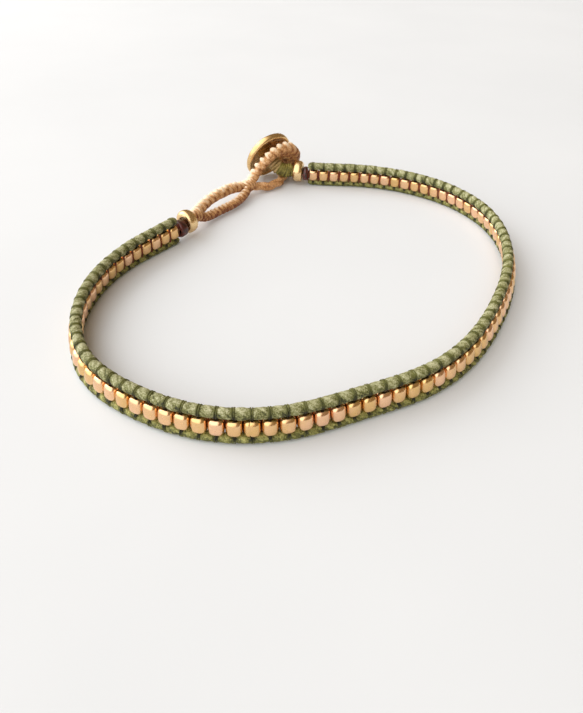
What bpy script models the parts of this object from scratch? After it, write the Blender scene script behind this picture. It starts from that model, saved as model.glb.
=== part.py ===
"""Beaded cord bracelet.

One row of brass beads stands between two waxed cords. Each end of the band has a dark
spacer and a brass end bead. A corded clasp with two eyelets leaves the left end bead,
and its outer eyelet goes round the wrapped stem of a disc button at the right end.
The bracelet stands on its lower cord, with the floor at z = 0. Units are metres.
"""

import math

import bmesh
import bpy
import numpy as np
from mathutils import Vector

MM = 0.001

# Bead row
BEAD_DIAMETER = 1.84 * MM
BEAD_LENGTH = 2.04 * MM
BEAD_GAP = 0.05 * MM
BEAD_SIDES = 10
# Height share of the bead length, radius share of the bead radius
BEAD_PROFILE = ((-0.50, 0.72), (-0.34, 1.00), (0.34, 1.00), (0.50, 0.72))

# Edge cords, the lower one pressed flat by the bead ends
UPPER_CORD_WIDTH = 1.44 * MM
UPPER_CORD_HEIGHT = 1.30 * MM
LOWER_CORD_WIDTH = 1.36 * MM
LOWER_CORD_HEIGHT = 1.08 * MM
CORD_WAIST = 0.84
CORD_SIDES = 8
CORD_GAP = 0.03 * MM

# Clearance between two pieces that touch on the real bracelet
FIT_GAP = 0.10 * MM

# Barrel end beads, held a little above the band's middle by the core through them
CORE_DIAMETER = 0.9 * MM
CORE_SIDES = 8
END_BEAD_DIAMETER = 3.5 * MM
END_BEAD_LENGTH = 1.8 * MM
END_BEAD_ROUNDING = 0.5 * MM
END_BEAD_BORE = 1.3 * MM
END_BEAD_RISE = 0.35 * MM
END_BEAD_SIDES = 16
CORE_SLOPE = 0.10 * MM

# Spacers that hang on the core
SPACER_SIDES = 16
SPACER_BORE = 1.8 * MM
LEFT_SPACER_DIAMETER = 2.7 * MM
LEFT_SPACER_THICKNESS = 1.5 * MM
LEFT_SPACER_DROP = 0.15 * MM
RIGHT_SPACER_DIAMETER = 2.5 * MM
RIGHT_SPACER_THICKNESS = 0.8 * MM
RIGHT_SPACER_DROP = 0.0 * MM

# Corded clasp
STRAND_DIAMETER = 1.6 * MM
STRAND_SIDES = 8
STRAND_STEP = 0.95 * MM
NECK_LENGTH = 2.0 * MM
BINDING_LENGTH = 2.3 * MM
BINDING_WIDTH = 2.3 * MM
# Length share of a binding, width share of the binding width
BINDING_PROFILE = ((-0.50, 0.55), (-0.30, 0.92), (0.0, 1.0), (0.30, 0.92), (0.50, 0.55))

# Button and its wrapped stem
BUTTON_DIAMETER = 9.2 * MM
BUTTON_THICKNESS = 1.2 * MM
BUTTON_SIDES = 24
BUTTON_TURN = math.radians(128.7)
BUTTON_LEAN = math.radians(21.8)
BUTTON_FLOOR_GAP = 0.05 * MM
STUB_DIAMETER = 1.6 * MM
STUB_LENGTH = 0.5 * MM
STUB_TAPER = 0.9
STEM_DIAMETER = 2.4 * MM
STEM_BOW = 0.7 * MM
STEM_SAG = 0.3 * MM
# Length share from the end bead to the button, width share of the stem diameter
STEM_ROOT = (0.10, 0.85)
STEM_SWELL = (0.35, 1.00)
STEM_NECK = 0.92
# Axial share of the thickness towards the face, radius share of the button radius
BUTTON_PROFILE = (
    (-0.10, 0.70),
    (-0.42, 0.84),
    (-0.46, 0.93),
    (-0.20, 1.00),
    (0.20, 1.00),
    (0.46, 0.94),
    (0.38, 0.84),
    (0.30, 0.50),
)

# Middle line of the band from the outer face of the left end bead, round the front,
# to the outer face of the right end bead: x, y in mm and inward lean in degrees
BAND_ROUTE = (
    (-19.25, 10.3, -2.0),
    (-21.8, 6.5, 0.0),
    (-26.8, -0.2, 7.5),
    (-30.0, -8.1, 10.6),
    (-30.1, -16.9, 11.5),
    (-26.6, -24.9, 11.8),
    (-19.6, -30.4, 11.4),
    (-11.4, -33.3, 10.2),
    (-2.5, -32.9, 8.8),
    (5.7, -29.8, 8.3),
    (13.7, -25.9, 10.5),
    (20.1, -20.0, 14.3),
    (24.9, -12.6, 17.0),
    (28.6, -4.4, 18.1),
    (30.4, 4.3, 18.0),
    (29.6, 12.8, 17.1),
    (25.2, 20.6, 15.6),
    (18.2, 25.7, 13.8),
    (9.6, 28.2, 11.8),
    (1.2, 28.7, 10.1),
    (-2.75, 29.35, 10.0),
)

# Clasp strands: x, y in mm, the height of the strand's underside above the floor in mm
# and the width share of the strand diameter
UPPER_STRAND = (
    (-18.3, 13.4, 1.85, 1.0),
    (-17.5, 15.2, 2.10, 1.0),
    (-16.3, 17.2, 2.30, 1.0),
    (-14.9, 19.3, 2.20, 1.0),
    (-13.3, 21.6, 1.90, 1.0),
    (-11.7, 23.5, 1.35, 1.0),
)
LOWER_STRAND = (
    (-17.3, 13.3, 0.40, 1.0),
    (-15.6, 15.6, 0.15, 1.0),
    (-14.2, 17.2, 0.15, 1.0),
    (-12.9, 18.8, 0.15, 1.0),
    (-11.8, 20.8, 0.25, 1.0),
    (-11.1, 22.7, 0.55, 1.0),
)
CLASP_MIDDLE = (-10.7, 24.4, 0.95, 1.0)
OUTER_LOOP = (
    (-9.8, 26.2, 1.80, 1.0),
    (-8.9, 27.1, 3.00, 1.0),
    (-7.6, 27.7, 4.20, 1.0),
    (-6.4, 28.2, 5.15, 1.0),
    (-5.1, 29.1, 5.65, 1.0),
    (-3.6, 30.4, 5.30, 1.10),
    (-2.7, 31.7, 4.05, 1.20),
    (-2.6, 32.6, 2.50, 1.25),
    (-3.3, 32.6, 1.05, 1.20),
    (-4.2, 31.2, 0.35, 1.10),
    (-4.8, 30.0, 0.05, 1.0),
    (-5.0, 28.8, 0.05, 1.0),
    (-5.7, 27.2, 0.15, 1.0),
    (-7.0, 26.0, 0.15, 1.0),
    (-8.4, 25.5, 0.20, 1.0),
)
BUTTON_PLACE = (-7.5, 31.2)


def clear_scene():
    for item in list(bpy.data.objects):
        bpy.data.objects.remove(item, do_unlink=True)


def make_material(name, colour, roughness, metallic):
    material = bpy.data.materials.new(name)
    material.use_nodes = True
    shader = material.node_tree.nodes["Principled BSDF"]
    shader.inputs["Base Color"].default_value = (*colour, 1.0)
    shader.inputs["Roughness"].default_value = roughness
    shader.inputs["Metallic"].default_value = metallic
    return material


def brass():
    return make_material("brass", (0.72, 0.47, 0.22), 0.32, 1.0)


def green_cord():
    return make_material("green_cord", (0.29, 0.33, 0.14), 0.75, 0.0)


def tan_cord():
    return make_material("tan_cord", (0.60, 0.40, 0.25), 0.75, 0.0)


def dark_spacer():
    return make_material("dark_spacer", (0.05, 0.02, 0.015), 0.45, 0.0)


def spline_through(points, axes):
    """Natural cubic spline through the points, spaced by their first few columns."""
    steps = np.linalg.norm(np.diff(points[:, :axes], axis=0), axis=1)
    knots = np.concatenate(([0.0], np.cumsum(steps)))
    count = len(points)
    matrix = np.eye(count)
    right = np.zeros_like(points)
    for i in range(1, count - 1):
        before = knots[i] - knots[i - 1]
        after = knots[i + 1] - knots[i]
        matrix[i, i - 1:i + 2] = (before, 2.0 * (before + after), after)
        slope_after = (points[i + 1] - points[i]) / after
        slope_before = (points[i] - points[i - 1]) / before
        right[i] = 6.0 * (slope_after - slope_before)
    bend = np.linalg.solve(matrix, right)

    def value(share):
        place = share * knots[-1]
        i = int(np.clip(np.searchsorted(knots, place) - 1, 0, count - 2))
        width = knots[i + 1] - knots[i]
        a = (knots[i + 1] - place) / width
        b = 1.0 - a
        curve = ((a ** 3 - a) * bend[i] + (b ** 3 - b) * bend[i + 1]) * width ** 2 / 6.0
        return a * points[i] + b * points[i + 1] + curve

    return value


class Route:
    """A smooth line through chosen points, read by its length in its first few columns."""

    SAMPLES = 4000

    def __init__(self, points, axes):
        value = spline_through(np.array(points, dtype=float), axes)
        self.points = np.array([value(i / self.SAMPLES) for i in range(self.SAMPLES + 1)])
        steps = np.linalg.norm(np.diff(self.points[:, :axes], axis=0), axis=1)
        self.reach = np.concatenate(([0.0], np.cumsum(steps)))
        self.length = float(self.reach[-1])

    def at(self, distance):
        return [float(np.interp(distance, self.reach, column)) for column in self.points.T]


class Band:
    """The band's middle line, its lean and the heights that its pieces give it."""

    def __init__(self):
        rows = [(x * MM, y * MM, math.radians(lean)) for x, y, lean in BAND_ROUTE]
        self.line = Route(rows, axes=2)
        self.length = self.line.length
        self.lower_rise = BEAD_LENGTH / 2.0 + CORD_GAP + LOWER_CORD_HEIGHT / 2.0
        self.upper_rise = BEAD_LENGTH / 2.0 + CORD_GAP + UPPER_CORD_HEIGHT / 2.0
        self.start = END_BEAD_LENGTH + FIT_GAP + LEFT_SPACER_THICKNESS + FIT_GAP
        right_end = END_BEAD_LENGTH + FIT_GAP + RIGHT_SPACER_THICKNESS + FIT_GAP
        self.stop = self.length - right_end
        usable = self.stop - self.start
        self.count = int(usable / (BEAD_DIAMETER + BEAD_GAP))
        self.pitch = usable / self.count

    def axes(self, distance):
        """Tangent, outward normal and upward direction of the leaning band."""
        step = self.pitch / 10.0
        ahead = self.line.at(min(distance + step, self.length))
        behind = self.line.at(max(distance - step, 0.0))
        along = Vector((ahead[0] - behind[0], ahead[1] - behind[1], 0.0)).normalized()
        out = Vector((along.y, -along.x, 0.0))
        lean = self.line.at(distance)[2]
        up = Vector((0.0, 0.0, math.cos(lean))) - out * math.sin(lean)
        face = out * math.cos(lean) + Vector((0.0, 0.0, math.sin(lean)))
        return along, face, up

    def middle(self, distance):
        """Centre of a bead at this distance."""
        x, y, _ = self.line.at(distance)
        up = self.axes(distance)[2]
        return Vector((x, y, LOWER_CORD_HEIGHT / 2.0 + self.lower_rise * up.z))

    def raised(self, distance, rise):
        """A place straight above the band's middle, on its left or right end."""
        return self.middle(distance) + Vector((0.0, 0.0, rise))


def skin(name, rings, material, closed=False):
    """A closed body through rings of points, each ring with as many points."""
    mesh = bpy.data.meshes.new(name)
    body = bmesh.new()
    loops = [[body.verts.new(point) for point in ring] for ring in rings]
    sides = len(rings[0])
    last = len(loops) if closed else len(loops) - 1
    for i in range(last):
        here = loops[i]
        there = loops[(i + 1) % len(loops)]
        for k in range(sides):
            after = (k + 1) % sides
            body.faces.new((here[k], here[after], there[after], there[k]))
    if not closed:
        body.faces.new(loops[0][::-1])
        body.faces.new(loops[-1])
    return finish_body(name, mesh, body, material)


def finish_body(name, mesh, body, material):
    bmesh.ops.recalc_face_normals(body, faces=body.faces)
    body.to_mesh(mesh)
    body.free()
    mesh.materials.append(material)
    mesh.shade_smooth()
    mesh.set_sharp_from_angle(angle=math.radians(40.0))
    item = bpy.data.objects.new(name, mesh)
    bpy.context.scene.collection.objects.link(item)
    return item


def circle(centre, across, over, radius, sides, start=0.5):
    """Points round a centre in the plane of two unit directions."""
    points = []
    for k in range(sides):
        angle = 2.0 * math.pi * (k + start) / sides
        points.append(centre + (across * math.cos(angle) + over * math.sin(angle)) * radius)
    return points


def plane_of(direction):
    """Two unit directions square to the given one, the second as upright as it can be."""
    level = Vector((0.0, 0.0, 1.0)).cross(direction)
    if level.length < 0.05:
        level = Vector((1.0, 0.0, 0.0))
    level.normalize()
    return level, direction.cross(level).normalized()


def make_edge_cord(name, band, rise, width, height, material):
    """A waxed cord that is drawn in beside each bead's bore and swells between two beads."""
    flat = math.cos(math.pi / CORD_SIDES)
    rings = []
    for i in range(2 * band.count + 1):
        distance = band.start + band.pitch * i / 2.0
        swell = CORD_WAIST if i % 2 == 1 else 1.0
        _, face, up = band.axes(distance)
        across = face * width / (2.0 * flat)
        over = up * height / (2.0 * flat)
        rings.append(circle(band.middle(distance) + up * rise, across, over, swell, CORD_SIDES))
    if rise < 0.0:
        for ring in rings:
            stand_on_floor(ring)
    return skin(name, rings, material)


def stand_on_floor(ring):
    """Press the underside of a ring of cord flat on the floor."""
    for point in sorted(ring, key=lambda corner: corner.z)[:2]:
        point.z = 0.0
    for point in ring:
        point.z = max(point.z, 0.0)


def bead_rings(band, distance):
    along, face, up = band.axes(distance)
    centre = band.middle(distance)
    rings = []
    for height, radius in BEAD_PROFILE:
        middle = centre + up * BEAD_LENGTH * height
        rings.append(circle(middle, along, face, BEAD_DIAMETER / 2.0 * radius, BEAD_SIDES))
    return rings


def make_bead_row(name, band, material):
    """Upright barrel beads, joined where neighbours touch, as one body."""
    mesh = bpy.data.meshes.new(name)
    body = bmesh.new()
    front = BEAD_SIDES - 1
    back = BEAD_SIDES // 2 - 1
    previous = None
    for i in range(band.count):
        rings = bead_rings(band, band.start + band.pitch * (i + 0.5))
        loops = [[body.verts.new(point) for point in ring] for ring in rings]
        body.faces.new(loops[0][::-1])
        body.faces.new(loops[-1])
        for level in range(len(loops) - 1):
            low = loops[level]
            high = loops[level + 1]
            for k in range(BEAD_SIDES):
                joins_next = k == front and i < band.count - 1
                joins_last = k == back and i > 0
                if level == 1 and (joins_next or joins_last):
                    continue
                after = (k + 1) % BEAD_SIDES
                body.faces.new((low[k], low[after], high[after], high[k]))
        if previous:
            near = (previous[1][front], previous[1][0], previous[2][0], previous[2][front])
            far = (loops[1][back + 1], loops[1][back], loops[2][back], loops[2][back + 1])
            for k in range(4):
                after = (k + 1) % 4
                body.faces.new((near[k], near[after], far[after], far[k]))
        previous = loops
    return finish_body(name, mesh, body, material)


def turned_ring(name, centre, axis, profile, sides, material):
    """A closed body turned round an axis, from (place along it, radius) pairs."""
    across, over = plane_of(axis)
    rings = []
    for shift, radius in profile:
        rings.append(circle(centre + axis * shift, across, over, radius, sides))
    return skin(name, rings, material, closed=True)


def make_spacer(name, band, distance, drop, diameter, thickness, material):
    """A thin round washer that hangs on the core."""
    half = thickness / 2.0
    outer = diameter / 2.0
    inner = SPACER_BORE / 2.0
    profile = ((-half, inner), (-half, outer), (half, outer), (half, inner))
    centre = band.raised(distance, -drop)
    axis = band.axes(distance)[0]
    return turned_ring(name, centre, axis, profile, SPACER_SIDES, material)


def make_end_bead(name, band, distance, material):
    """A short barrel bead with rounded rims, drilled for the core."""
    half = END_BEAD_LENGTH / 2.0
    outer = END_BEAD_DIAMETER / 2.0
    rim = outer - END_BEAD_ROUNDING
    body = half - END_BEAD_ROUNDING
    inner = END_BEAD_BORE / 2.0
    profile = ((-half, inner), (-half, rim), (-body, outer),
               (body, outer), (half, rim), (half, inner))
    centre = band.raised(distance, END_BEAD_RISE)
    axis = band.axes(distance)[0]
    return turned_ring(name, centre, axis, profile, END_BEAD_SIDES, material)


def core_line(band, outer, inner, end):
    """The core's points at both faces of an end bead and beside the bead row."""
    return [
        band.raised(outer, END_BEAD_RISE + CORE_SLOPE),
        band.raised(inner, END_BEAD_RISE - CORE_SLOPE),
        band.middle(end),
    ]


def tube(name, points, radii, sides, material):
    """A round body along a line of points, with its own radius at each."""
    rings = []
    level = None
    for i, point in enumerate(points):
        ahead = points[min(i + 1, len(points) - 1)]
        behind = points[max(i - 1, 0)]
        direction = (ahead - behind).normalized()
        if level is None:
            level = plane_of(direction)[0]
        level = (level - direction * level.dot(direction)).normalized()
        rings.append(circle(point, level, direction.cross(level), radii[i], sides))
    return skin(name, rings, material)


def strand(name, chosen, material):
    """A clasp strand through chosen points, each with its width share."""
    route = Route(chosen, axes=3)
    count = max(4, round(route.length / STRAND_STEP))
    rows = [route.at(route.length * i / count) for i in range(count + 1)]
    points = [Vector(row[:3]) for row in rows]
    radii = [STRAND_DIAMETER / 2.0 * row[3] for row in rows]
    return tube(name, points, radii, STRAND_SIDES, material)


def binding(name, centre, direction, length, material):
    """The hitches that bind two strands side by side."""
    points = [centre + direction * length * share for share, _ in BINDING_PROFILE]
    radii = [BINDING_WIDTH / 2.0 * share for _, share in BINDING_PROFILE]
    return tube(name, points, radii, STRAND_SIDES + 2, material)


def clasp_points(rows):
    """Centres of a strand in metres and their width shares, from its chosen points."""
    points = []
    for x, y, height, share in rows:
        points.append((x * MM, y * MM, height * MM + STRAND_DIAMETER / 2.0 * share, share))
    return points


def join_bodies(main, others):
    """Fuse several closed bodies into the first."""
    for other in others:
        union = main.modifiers.new("union_" + other.name, "BOOLEAN")
        union.operation = "UNION"
        union.solver = "EXACT"
        union.use_self = True
        union.object = other
        other.hide_render = True
        other.display_type = "WIRE"


def make_clasp(name, band, material):
    """Two eyelets of corded strands, with a core that runs through the left end bead."""
    inward = band.axes(0.0)[0]
    core_points = core_line(band, 0.0, END_BEAD_LENGTH, band.start - FIT_GAP)
    root = core_points[0] - inward * (FIT_GAP + NECK_LENGTH / 2.0)
    start = (*root, 1.0)
    middle = clasp_points([CLASP_MIDDLE])[0]
    upper = clasp_points(UPPER_STRAND)
    lower = clasp_points(LOWER_STRAND)
    loop = clasp_points(OUTER_LOOP)
    top = strand(name, [start, *upper, middle], material)
    under = strand("guide_lower_strand", [start, *lower, middle], material)
    outer = strand("guide_outer_loop", [middle, *loop, middle], material)
    course = Vector(loop[0][:3]) + Vector(loop[-1][:3])
    course -= Vector(upper[-1][:3]) + Vector(lower[-1][:3])
    course.normalize()
    centre = Vector(middle[:3])
    knot = binding("guide_middle_binding", centre, course, BINDING_LENGTH, material)
    neck = binding("guide_neck_binding", root, inward, NECK_LENGTH, material)
    core_points.insert(0, root)
    radii = [CORE_DIAMETER / 2.0] * len(core_points)
    core = tube("guide_core", core_points, radii, CORE_SIDES, material)
    join_bodies(top, [under, outer, knot, neck, core])


def button_axis():
    level = math.cos(BUTTON_LEAN)
    x = level * math.cos(BUTTON_TURN)
    y = level * math.sin(BUTTON_TURN)
    return Vector((x, y, math.sin(BUTTON_LEAN)))


def button_centre():
    rise = BUTTON_DIAMETER / 2.0 * math.cos(BUTTON_LEAN)
    rise += BUTTON_THICKNESS / 2.0 * math.sin(BUTTON_LEAN)
    x, y = BUTTON_PLACE
    return Vector((x * MM, y * MM, rise + BUTTON_FLOOR_GAP))


def make_button(name, material):
    """A turned disc with a rolled rim, a hollow back and a stub for the stem."""
    axis = button_axis()
    across, over = plane_of(axis)
    centre = button_centre()
    dish = BUTTON_PROFILE[0][0] * BUTTON_THICKNESS
    stub = STUB_DIAMETER / 2.0
    stations = [(dish - STUB_LENGTH, stub * STUB_TAPER), (dish, stub)]
    for axial, radial in BUTTON_PROFILE:
        stations.append((axial * BUTTON_THICKNESS, radial * BUTTON_DIAMETER / 2.0))
    rings = []
    for axial, radius in stations:
        rings.append(circle(centre + axis * axial, across, over, radius, BUTTON_SIDES))
    return skin(name, rings, material)


def make_stem(name, band, material):
    """The wrapped stem, with a core that runs through the right end bead."""
    outward = band.axes(band.length)[0]
    axis = button_axis()
    dish = BUTTON_PROFILE[0][0] * BUTTON_THICKNESS
    far = button_centre() + axis * (dish - STUB_LENGTH - FIT_GAP)
    core_points = core_line(band, band.length, band.length - END_BEAD_LENGTH,
                            band.stop + FIT_GAP)
    near = core_points[0] + outward * FIT_GAP
    course = far - near
    bow = Vector((-course.y, course.x, 0.0)).normalized() * STEM_BOW
    bow.z = -STEM_SAG
    root = near + course * STEM_ROOT[0]
    swell = near + course * STEM_SWELL[0] + bow
    last = far - axis * STUB_DIAMETER / 2.0
    points = [*core_points[::-1], near, root, swell, last, far]
    wrap = STEM_DIAMETER / 2.0
    radii = [CORE_DIAMETER / 2.0] * (len(core_points) + 1)
    radii += [wrap * STEM_ROOT[1], wrap * STEM_SWELL[1], wrap * STEM_NECK]
    radii.append(STUB_DIAMETER / 2.0)
    return tube(name, points, radii, STRAND_SIDES + 2, material)


def build():
    clear_scene()
    band = Band()
    metal = brass()
    green = green_cord()
    dark = dark_spacer()
    make_bead_row("bead_row", band, metal)
    make_edge_cord("lower_edge_cord", band, -band.lower_rise,
                   LOWER_CORD_WIDTH, LOWER_CORD_HEIGHT, green)
    make_edge_cord("upper_edge_cord", band, band.upper_rise,
                   UPPER_CORD_WIDTH, UPPER_CORD_HEIGHT, green)
    left = band.start - FIT_GAP - LEFT_SPACER_THICKNESS / 2.0
    right = band.stop + FIT_GAP + RIGHT_SPACER_THICKNESS / 2.0
    make_spacer("left_spacer", band, left, LEFT_SPACER_DROP,
                LEFT_SPACER_DIAMETER, LEFT_SPACER_THICKNESS, dark)
    make_spacer("right_spacer", band, right, RIGHT_SPACER_DROP,
                RIGHT_SPACER_DIAMETER, RIGHT_SPACER_THICKNESS, dark)
    bead_place = END_BEAD_LENGTH / 2.0
    make_end_bead("left_end_bead", band, bead_place, metal)
    make_end_bead("right_end_bead", band, band.length - bead_place, metal)
    make_clasp("clasp_loop", band, tan_cord())
    make_button("button", metal)
    make_stem("button_stem", band, green)


build()
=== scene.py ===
"""Looks of the beaded cord bracelet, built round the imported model. Units are metres."""

import math

import bpy
import numpy as np
from mathutils import Matrix, Vector


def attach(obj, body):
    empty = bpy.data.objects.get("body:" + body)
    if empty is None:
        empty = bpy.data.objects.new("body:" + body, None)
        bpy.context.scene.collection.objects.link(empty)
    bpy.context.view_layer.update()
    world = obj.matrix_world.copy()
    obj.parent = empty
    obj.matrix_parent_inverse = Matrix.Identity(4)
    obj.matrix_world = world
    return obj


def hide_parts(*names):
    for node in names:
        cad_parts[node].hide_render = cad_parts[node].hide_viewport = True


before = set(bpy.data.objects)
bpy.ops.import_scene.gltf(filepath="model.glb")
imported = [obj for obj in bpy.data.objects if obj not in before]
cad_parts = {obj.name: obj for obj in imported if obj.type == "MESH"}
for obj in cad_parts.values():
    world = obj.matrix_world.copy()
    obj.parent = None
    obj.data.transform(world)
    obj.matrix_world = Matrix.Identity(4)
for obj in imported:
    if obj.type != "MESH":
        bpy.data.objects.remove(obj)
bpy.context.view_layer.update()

MM = 0.001
TURN = 2.0 * math.pi

# Sizes and routes that the solids were built from
BEAD_DIAMETER = 1.84 * MM
BEAD_LENGTH = 2.04 * MM
BEAD_GAP = 0.05 * MM
UPPER_CORD_WIDTH = 1.44 * MM
UPPER_CORD_HEIGHT = 1.30 * MM
LOWER_CORD_WIDTH = 1.36 * MM
LOWER_CORD_HEIGHT = 1.08 * MM
CORD_GAP = 0.03 * MM
FIT_GAP = 0.10 * MM
CORE_DIAMETER = 0.9 * MM
END_BEAD_DIAMETER = 3.5 * MM
END_BEAD_LENGTH = 1.8 * MM
END_BEAD_BORE = 1.3 * MM
END_BEAD_RISE = 0.35 * MM
CORE_SLOPE = 0.10 * MM
SPACER_BORE = 1.8 * MM
LEFT_SPACER_DIAMETER = 2.7 * MM
LEFT_SPACER_THICKNESS = 1.5 * MM
LEFT_SPACER_DROP = 0.15 * MM
RIGHT_SPACER_DIAMETER = 2.5 * MM
RIGHT_SPACER_THICKNESS = 0.8 * MM
RIGHT_SPACER_DROP = 0.0 * MM
STRAND_DIAMETER = 1.6 * MM
NECK_LENGTH = 2.0 * MM
BINDING_LENGTH = 2.3 * MM
BINDING_WIDTH = 2.3 * MM
BUTTON_DIAMETER = 9.2 * MM
BUTTON_THICKNESS = 1.2 * MM
BUTTON_TURN = math.radians(128.7)
BUTTON_LEAN = math.radians(21.8)
BUTTON_FLOOR_GAP = 0.05 * MM
STUB_DIAMETER = 1.6 * MM
STUB_LENGTH = 0.5 * MM
STEM_DIAMETER = 2.4 * MM
STEM_BOW = 0.7 * MM
STEM_SAG = 0.3 * MM

# Middle line of the band: x, y in mm and inward lean in degrees
BAND_ROUTE = (
    (-19.25, 10.3, -2.0),
    (-21.8, 6.5, 0.0),
    (-26.8, -0.2, 7.5),
    (-30.0, -8.1, 10.6),
    (-30.1, -16.9, 11.5),
    (-26.6, -24.9, 11.8),
    (-19.6, -30.4, 11.4),
    (-11.4, -33.3, 10.2),
    (-2.5, -32.9, 8.8),
    (5.7, -29.8, 8.3),
    (13.7, -25.9, 10.5),
    (20.1, -20.0, 14.3),
    (24.9, -12.6, 17.0),
    (28.6, -4.4, 18.1),
    (30.4, 4.3, 18.0),
    (29.6, 12.8, 17.1),
    (25.2, 20.6, 15.6),
    (18.2, 25.7, 13.8),
    (9.6, 28.2, 11.8),
    (1.2, 28.7, 10.1),
    (-2.75, 29.35, 10.0),
)

# Clasp strands: x, y in mm, the height of the strand's underside above the floor in mm
# and the width share of the strand diameter
UPPER_STRAND = (
    (-18.3, 13.4, 1.85, 1.0),
    (-17.5, 15.2, 2.10, 1.0),
    (-16.3, 17.2, 2.30, 1.0),
    (-14.9, 19.3, 2.20, 1.0),
    (-13.3, 21.6, 1.90, 1.0),
    (-11.7, 23.5, 1.35, 1.0),
)
LOWER_STRAND = (
    (-17.3, 13.3, 0.40, 1.0),
    (-15.6, 15.6, 0.15, 1.0),
    (-14.2, 17.2, 0.15, 1.0),
    (-12.9, 18.8, 0.15, 1.0),
    (-11.8, 20.8, 0.25, 1.0),
    (-11.1, 22.7, 0.55, 1.0),
)
CLASP_MIDDLE = (-10.7, 24.4, 0.95, 1.0)
OUTER_LOOP = (
    (-9.8, 26.2, 1.80, 1.0),
    (-8.9, 27.1, 3.00, 1.0),
    (-7.6, 27.7, 4.20, 1.0),
    (-6.4, 28.2, 5.15, 1.0),
    (-5.1, 29.1, 5.65, 1.0),
    (-3.6, 30.4, 5.30, 1.10),
    (-2.7, 31.7, 4.05, 1.20),
    (-2.6, 32.6, 2.50, 1.25),
    (-3.3, 32.6, 1.05, 1.20),
    (-4.2, 31.2, 0.35, 1.10),
    (-4.8, 30.0, 0.05, 1.0),
    (-5.0, 28.8, 0.05, 1.0),
    (-5.7, 27.2, 0.15, 1.0),
    (-7.0, 26.0, 0.15, 1.0),
    (-8.4, 25.5, 0.20, 1.0),
)
BUTTON_PLACE = (-7.5, 31.2)

# Bead forms: bore, rims, the sheet's seam and the one bead that shows it in front
BEAD_SEED = 11
BEAD_BORE = 0.52 * MM
BEAD_LIP = 0.05 * MM
BEAD_ROUNDING = (0.42 * MM, 0.60 * MM)
BEAD_BELLY = 0.012 * MM
BEAD_SQUARENESS = 2.8
BEAD_SIDES = 32
SEAM_BEAD = 30
SEAM_IN_FRONT = math.radians(106.0)
SEAM_WIDTH = math.radians(5.0)
SEAM_DEPTH = 0.18 * MM
END_BEAD_CURVE = (0.66 * MM, 0.60 * MM)
END_BEAD_SWELL = 1.06
BENDS = tuple(math.radians(degrees) for degrees in (0, 15, 30, 45, 60, 75, 90))

# How far one bead differs from the next: lean along and across the band, size, seam,
# squareness and oval
BEAD_LEANS = (0.022, 0.015)
BEAD_SIZES = (0.985, 1.012)
SEAM_SWING = 0.25
SQUARENESS_SWING = 0.3
OVAL_SWING = 0.012

# Threads that lace the cords to the beads, and the dark threads put in the gaps between two beads as
# painted shade
THREAD_DIAMETER = 0.19 * MM
THREAD_SPREAD = 0.11 * MM
THREAD_SKEW = 0.07 * MM
THREAD_REACH = (1.6, 2.2)
THREAD_STEPS = 24
THREAD_SIDES = 7
BORE_KNOT_DEPTH = 0.25 * MM
BORE_KNOT_GIRTHS = (0.8, 1.0, 1.6)
BORE_KNOT_CROWN = 0.40
GAP_SHADE_DIAMETER = 0.26 * MM
GAP_SHADE_PLACE = -0.46 * MM
GAP_SHADE_OVERHANG = 0.2 * MM
GAP_SHADE_SIDES = 8
GAP_SHADE_LEVEL = 0.3

# Edge cords: girth shares at the necks and between two, lay in turns a bead, how far size and
# lay wander, and the shares of the radius that the plies and folds make up
CORD_NECK = 0.80
CORD_SWELL = 1.04
CORD_RINGS = 20
CORD_TUBE_SIDES = 40
CORD_LAY = 0.42
CORD_SIZES = (0.96, 1.03)
CORD_WANDER = 0.8
CORD_RELIEF = {"plain": 0.87, "groove": 0.09, "yarn": 0.04, "uneven": 0.02, "crease": 0.025}
CORD_REST = 0.05 * MM
LOWER_CORD_SPREAD = 1.07
LOWER_CORD_SEED = 51
UPPER_CORD_SEED = 52
LOWER_LACING_SEED = 53
UPPER_LACING_SEED = 54

# Hitched strands: girth as a share of the radius, hitch length, how far the knots stand out, how
# much painted shade darkens the whole strand, how far its ribs lean, the length over which its ends
# taper, and rings of points in each hitch
WRAP_PITCH = 0.42 * MM
HITCHES = {
    "upper_strand": dict(seed=21, girth=1.02, pitch=1.24 * MM, purl=0.46),
    "lower_strand": dict(seed=22, girth=0.94, pitch=0.90 * MM, purl=0.20, shade=0.16),
    "outer_loop": dict(seed=23, girth=1.08, pitch=1.24 * MM, purl=0.40),
    "binding": dict(seed=24, girth=1.0, pitch=0.60 * MM, purl=0.08, lean=0.5, taper=0.8 * MM),
    "neck": dict(seed=25, girth=1.0, pitch=0.60 * MM, purl=0.06, lean=0.3, taper=0.6 * MM),
    "loop_fill": dict(seed=27, girth=1.0, pitch=0.90 * MM, purl=0.10),
    "inner_loop_fill": dict(seed=28, girth=1.0, pitch=0.90 * MM, purl=0.10),
    "stem_wrap": dict(seed=41, girth=1.0, pitch=WRAP_PITCH, purl=0.05, lean=0.9, taper=0.4 * MM, rings=10),
    "stem_tan_wrap": dict(
        seed=42, girth=1.05, pitch=WRAP_PITCH * 1.4, purl=0.08, lean=1.2, taper=0.4 * MM, rings=12
    ),
}
HITCH_SIDES = 36
HITCH_RELIEF = {"plain": 0.76, "ridge": 0.15, "strand": 0.05, "uneven": 0.025}
# The knots sit on this side, which faces the window; the hitched strands are also painted paler towards it
# (painted light)
KNOT_SIDE = (-0.62, 0.28, 0.73)
KNOT_FROM = 0.40
KNOT_REACH = 0.45
TAPERED_TO = 0.72
STRAND_REST = 0.02 * MM
STRAND_LEVEL = (1.0, -1.0, 0.0)
LINE_STEP = 0.1 * MM

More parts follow.
